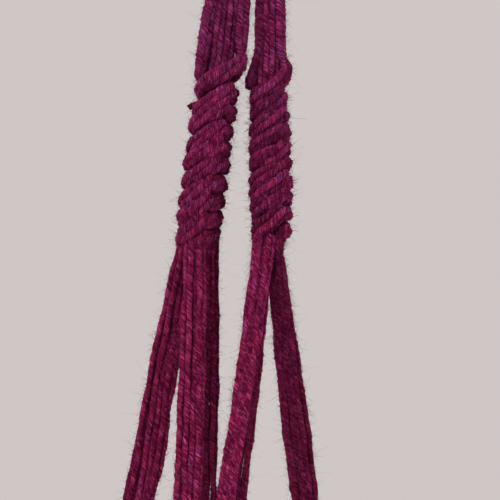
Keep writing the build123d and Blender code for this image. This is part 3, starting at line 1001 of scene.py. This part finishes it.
def make_tassel(joint, azimuth):
    """A quarter of the tassel: sixteen yarns flaring under the base wrap, with ends trimmed by hand."""
    yarns = []
    high_drop, low_drop = TASSEL_DROPS
    for neck in quarter_places(azimuth, BASE_NECK_FOOT):
        out = neck - vector(0, 0, BASE_NECK_FOOT)
        side = np.cross((0, 0, 1), out)
        lean = chance.normal(0, TASSEL_LEAN)
        hang = chance.uniform(*TASSEL_HANG)
        foot = TASSEL_FOOT + chance.normal(0, TASSEL_TRIM)
        control = [
            neck + vector(0, 0, TASSEL_RISE),
            neck,
            out * chance.normal(*TASSEL_FLARE) + vector(0, 0, TASSEL_BULGE),
            out * (TASSEL_EASE + hang) / 2 + side * lean / 2 + vector(0, 0, TASSEL_BULGE - high_drop),
            out * hang + side * lean + vector(0, 0, TASSEL_BULGE - low_drop),
            out * hang * FOOT_HANG + side * lean * FOOT_LEAN + vector(0, 0, foot),
        ]
        yarns.append(yarn(control, loose=TASSEL_LOOSE))
    piece = piece_of(f"{joint}_tassel_yarns", yarns, "tassel")
    hang_loose(piece)
    outward, _ = compass(azimuth)
    start = outward * TASSEL_MIDDLE + vector(0, 0, BASE_NECK_FOOT)
    end = outward * TASSEL_FOOT_MIDDLE + vector(0, 0, TASSEL_FOOT)
    line = route([start, (start + end) / 2, end])
    return yarns


def fibre_lines(yarns, count, lengths, steps, lift):
    """Curled lines of loose fibres, their starting directions, and the shares along a line."""
    vertices, normals, tangents = (
        np.concatenate([one[label].reshape(-1, 3) for one in yarns])
        for label in ("vertices", "normals", "tangents")
    )
    picks = chance.integers(len(vertices), size=count)
    along = tangents[picks] * chance.choice([-1, 1], count)[:, None] * (1 - lift)
    lean = normals[picks] * lift + along + chance.normal(0, HAIR_SCATTER, (count, 3))
    lean /= np.linalg.norm(lean, axis=1)[:, None]
    curl = chance.normal(0, HAIR_CURL, (count, 1, 3))
    swirl = chance.normal(0, HAIR_SWIRL, (count, 1, 3))
    shortest, longest = lengths
    length = (shortest + (longest - shortest) * chance.uniform(0, 1, count) ** 2)[:, None, None]
    share = np.linspace(0, 1, steps + 1)[None, :, None]
    lines = vertices[picks][:, None] + length * (share * lean[:, None] + share**2 * curl + share**3 * swirl)
    return lines, lean, share


def stray_fibres(name, yarns, count, lengths, thickness, steps, lift):
    """Loose fibres off the yarns, thin closed tubes that taper, each with its own cell of the map."""
    lines, lean, share = fibre_lines(yarns, count, lengths, steps, lift)
    any_way = (0.31, 0.52, 0.8)
    side = np.cross(lean, any_way)
    side /= np.linalg.norm(side, axis=1)[:, None]
    up = np.cross(lean, side)
    turn = 2 * pi * np.arange(HAIR_SIDES) / HAIR_SIDES
    spokes = np.cos(turn)[None, :, None] * side[:, None] + np.sin(turn)[None, :, None] * up[:, None]
    thin = thickness / 2 * (1 - HAIR_TAPER * share)
    tubes = lines[:, :, None] + thin[..., None] * spokes[:, None]
    tube, spots = tube_faces(steps + 1, HAIR_SIDES)
    points = (steps + 1) * HAIR_SIDES
    starts = range(0, count * points, points)
    faces = [[corner + start for corner in face] for start in starts for face in tube]
    fuzz = add_mesh(name, tubes.reshape(-1, 3), faces, fibre)
    add_layer(fuzz, "shade", np.repeat(chance.uniform(0, 1, count), points)[:, None])
    cells = int(np.ceil(np.sqrt(count)))
    order = np.arange(count)
    corner = np.stack([order % cells, order // cells], axis=1)[:, None]
    add_map(fuzz, (spots[None] * CELL_SHARE + CELL_MARGIN + corner) / cells)
    return fuzz


def add_fuzz(name, yarns, counts):
    """Short nap and a longer halo of stray fibres on some yarns."""
    fuzz = []
    for (kind, shape), count in zip(FUZZ.items(), counts):
        fuzz.append(stray_fibres(f"{name}_{kind}", yarns, count, *shape))
    return fuzz


def dress_hanger(name, yarns, counts):
    """Fuzz that rides with the hanger."""
    for fuzz in add_fuzz(name, yarns, counts):
        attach(fuzz, "hanger")


def make_camera():
    """The camera at the photograph's viewing angle."""
    data = bpy.data.cameras.new("camera")
    data.sensor_width = SENSOR
    data.lens = SENSOR * CAMERA_DISTANCE / VIEW_WIDTH
    data.clip_start = NEAREST
    camera = bpy.data.objects.new("camera", data)
    bpy.context.collection.objects.link(camera)
    stand = Matrix.Translation((VIEW_SHIFT, -FRONT_PLANE - CAMERA_DISTANCE, VIEW_HEIGHT))
    facing = Matrix.Rotation(pi / 2, 4, "X") @ Matrix.Rotation(radians(CAMERA_ROLL), 4, "Z")
    camera.matrix_world = Matrix.Rotation(radians(CAMERA_TURN), 4, "Z") @ stand @ facing
    bpy.context.scene.camera = camera


def make_floor():
    """A wide pale floor below the hanging object."""
    material = bpy.data.materials.new("pale_floor")
    add, link = node_maker(material)
    place = add("ShaderNodeTexCoord").outputs["Object"]
    stops = [(spot, tuple(shade * part for part in PALE)) for spot, shade in FLOOR_STOPS]
    colour = ramp_of(add, stops)
    link(noise(add, link, place, Scale=6), colour.inputs["Fac"])
    shader = add("ShaderNodeBsdfPrincipled", Roughness=0.9)
    finish_material(add, link, shader, colour.outputs["Color"])
    rim = [round_axis(360 * step / FLOOR_STEPS, FLOOR_RADIUS, FLOOR) for step in range(FLOOR_STEPS)]
    add_mesh("floor", rim, [tuple(range(FLOOR_STEPS))], material)


def make_world():
    """Even soft light, with a plain pale colour where the camera sees past the object."""
    world = bpy.data.worlds.new("studio")
    bpy.context.scene.world = world
    add, link = node_maker(world)
    path = add("ShaderNodeLightPath")
    light = add("ShaderNodeBackground", Color=(*WORLD_COLOUR, 1), Strength=WORLD_STRENGTH)
    backdrop = add("ShaderNodeBackground", Color=(*PALE, 1), Strength=1)
    choose = add("ShaderNodeMixShader")
    link(path.outputs["Is Camera Ray"], choose.inputs["Fac"])
    link(light.outputs["Background"], choose.inputs[1])
    link(backdrop.outputs["Background"], choose.inputs[2])
    link(choose.outputs["Shader"], add("ShaderNodeOutputWorld").inputs["Surface"])


def make_lamp(name, place, size, power):
    """A soft square lamp that faces the object."""
    lamp = bpy.data.lights.new(name, "AREA")
    lamp.size = size
    lamp.energy = power
    holder = bpy.data.objects.new(name, lamp)
    bpy.context.collection.objects.link(holder)
    facing = (Vector(LAMP_TARGET) - Vector(place)).to_track_quat("-Z", "Y")
    holder.matrix_world = Matrix.Translation(place) @ facing.to_matrix().to_4x4()


# Pieces
for arm, azimuth in ARMS.items():
    dress_hanger(arm, make_arm(arm, azimuth), ARM_FUZZ)
    split_yarns = make_split(arm, azimuth, -1) + make_split(arm, azimuth, 1)
    dress_hanger(f"{arm}_split", split_yarns, SPLIT_FUZZ)
low_yarns = make_wrap("base_wrap_yarn", BASE_WRAP_TOP, "base_wrap", "base_core")
for joint, azimuth in JOINTS.items():
    low_yarns += make_joint(joint, azimuth)
    low_yarns += make_cradle(joint, azimuth)
dress_hanger("low", low_yarns, LOW_FUZZ)
top_yarns = make_wrap("top_wrap_yarn", TOP_WRAP_TOP, "top_wrap", "top_core")
for order, (name, (radius, foot)) in enumerate(BIGHTS.items()):
    top_yarns += make_bights(name, radius, foot, order)
dress_hanger("top", top_yarns, TOP_FUZZ)
tassel_yarns = []
for joint, azimuth in JOINTS.items():
    tassel_yarns += make_tassel(joint, azimuth)
for fuzz in add_fuzz("tassel", tassel_yarns, TASSEL_FUZZ):
    hang_loose(fuzz)

# Ring and pot, shown as built
for name, label, finish in (("hanging_ring", "beech", BEECH), ("plant_pot", "terracotta", CLAY)):
    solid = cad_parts[name].data
    solid.materials.clear()
    solid.materials.append(grained_material(label, *finish))

# Camera, floor and light
make_camera()
make_floor()
make_world()
for name, lamp in LAMPS.items():
    make_lamp(name, *lamp)
bpy.context.scene.view_settings.view_transform = "Standard"
